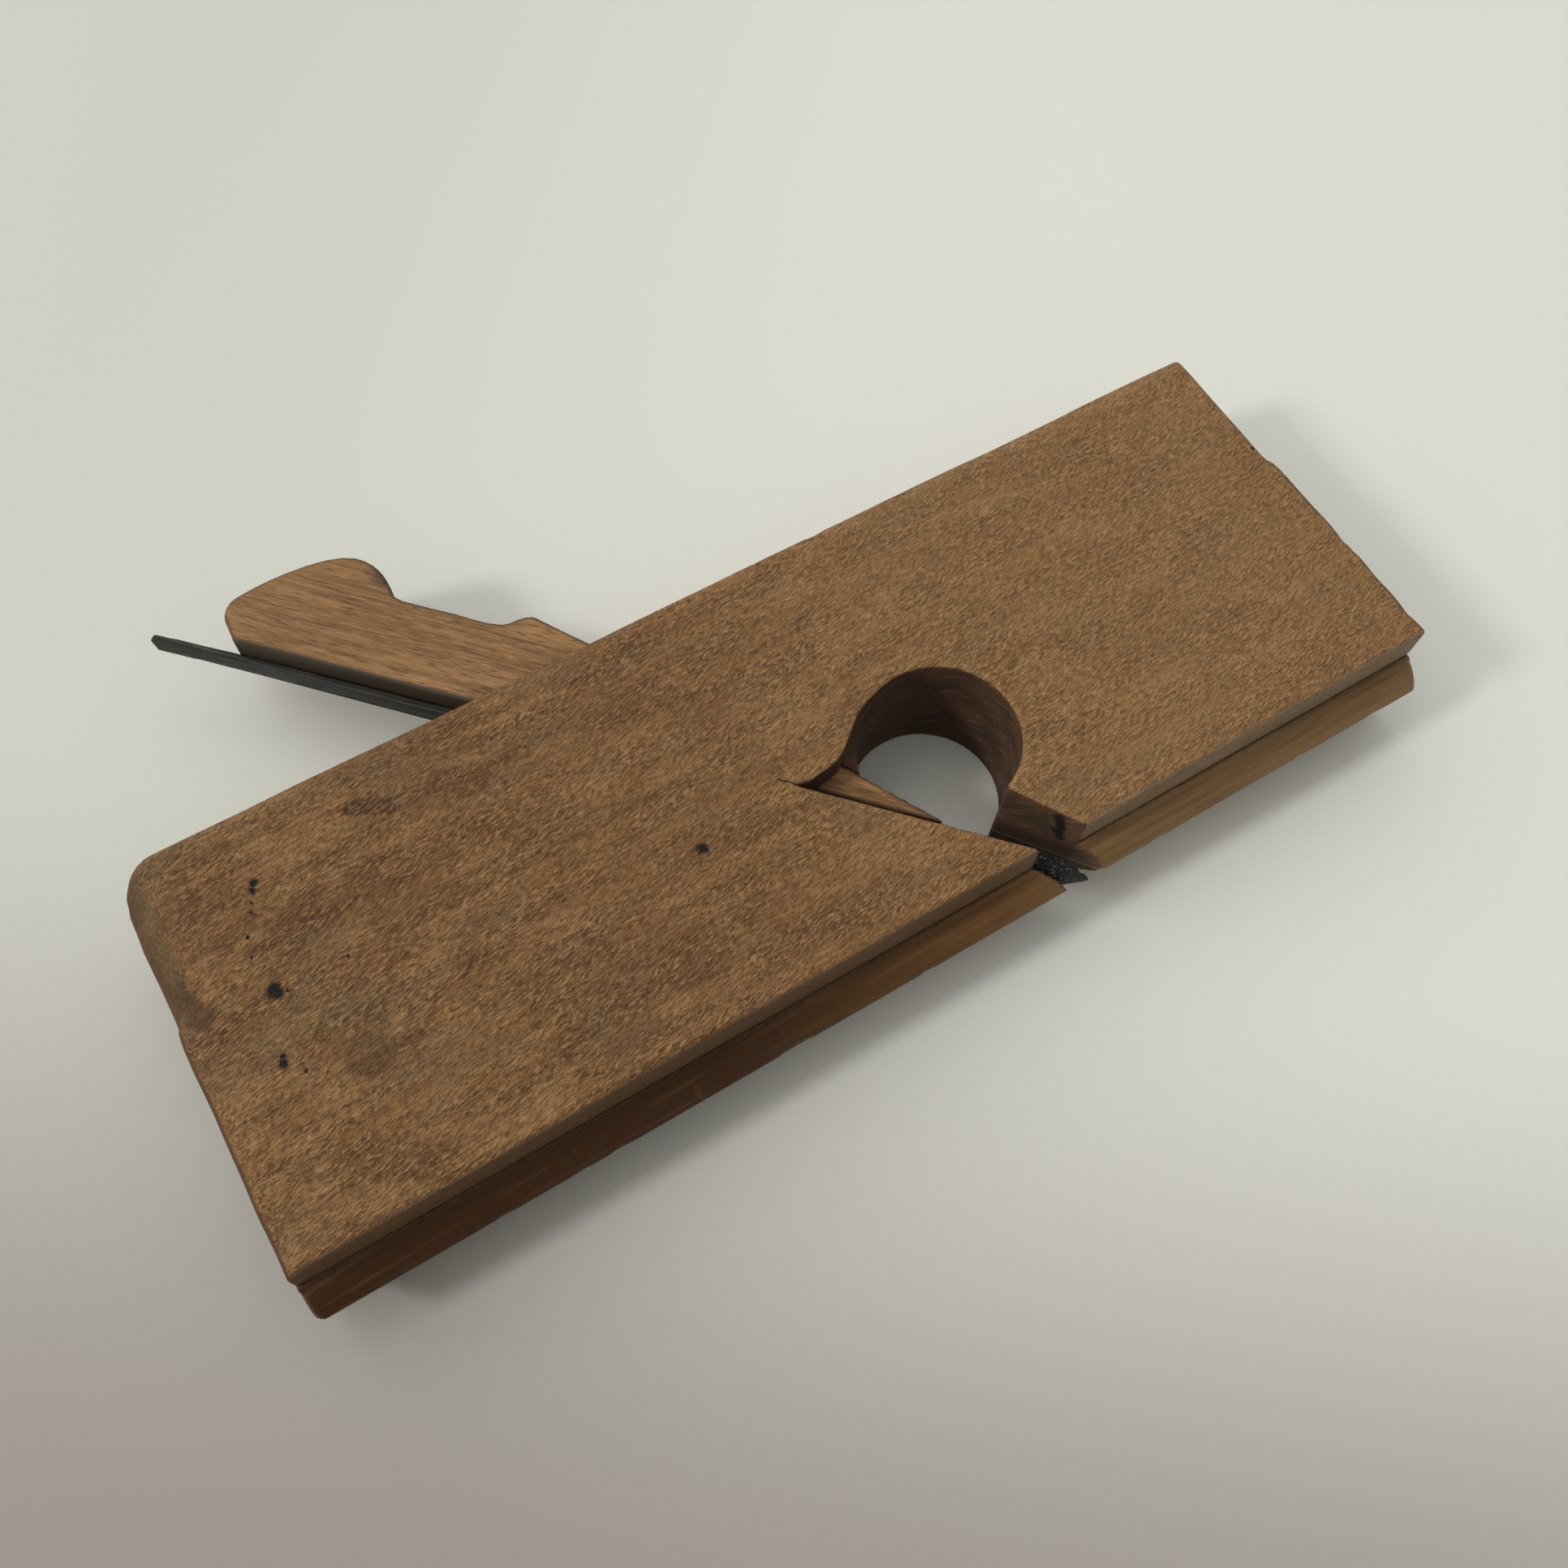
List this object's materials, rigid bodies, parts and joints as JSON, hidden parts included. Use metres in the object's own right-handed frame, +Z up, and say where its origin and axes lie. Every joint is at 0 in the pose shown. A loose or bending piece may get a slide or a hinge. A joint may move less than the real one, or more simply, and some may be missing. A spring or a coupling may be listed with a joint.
{
  "type": "wooden side-escapement plane with a ridged sole",
  "caption": "Old wooden hand plane with a pointed ridge along its sole, a round shaving escapement through its side, and a narrow iron held by a long wooden wedge.",
  "frame": {"origin": "the centre of the stock's left face, which lies on the bench", "axes": "+X to the toe, the plane's front end; +Y to the top of the plane, away from its sole; +Z up from the bench, out of the stock's right face"},
  "size_m": [0.2414, 0.1367, 0.0286],
  "materials": {
    "stock_beech": "aged mid-brown beech with a hand-worn satin patina, dark flecks and stained edges",
    "wedge_beech": "aged beech, long grain lines, worn bare at its head",
    "iron_steel": "forged iron, blackened and lightly pitted, ground at the cutting edge"
  },
  "bodies": {
    "stock": {"stock": "stock_beech"},
    "iron": {"iron": "iron_steel"},
    "wedge": {"wedge": "wedge_beech"}
  },
  "joints": [
    {"name": "wedge_slide", "type": "slide", "parent": "stock", "child": "wedge", "axis": [-0.6914, 0.7225, 0], "range_m": [0, 0.125]},
    {"name": "iron_slide", "type": "slide", "parent": "stock", "child": "iron", "axis": [-0.6914, 0.7225, 0], "range_m": [-0.19, 0.004]}
  ]
}
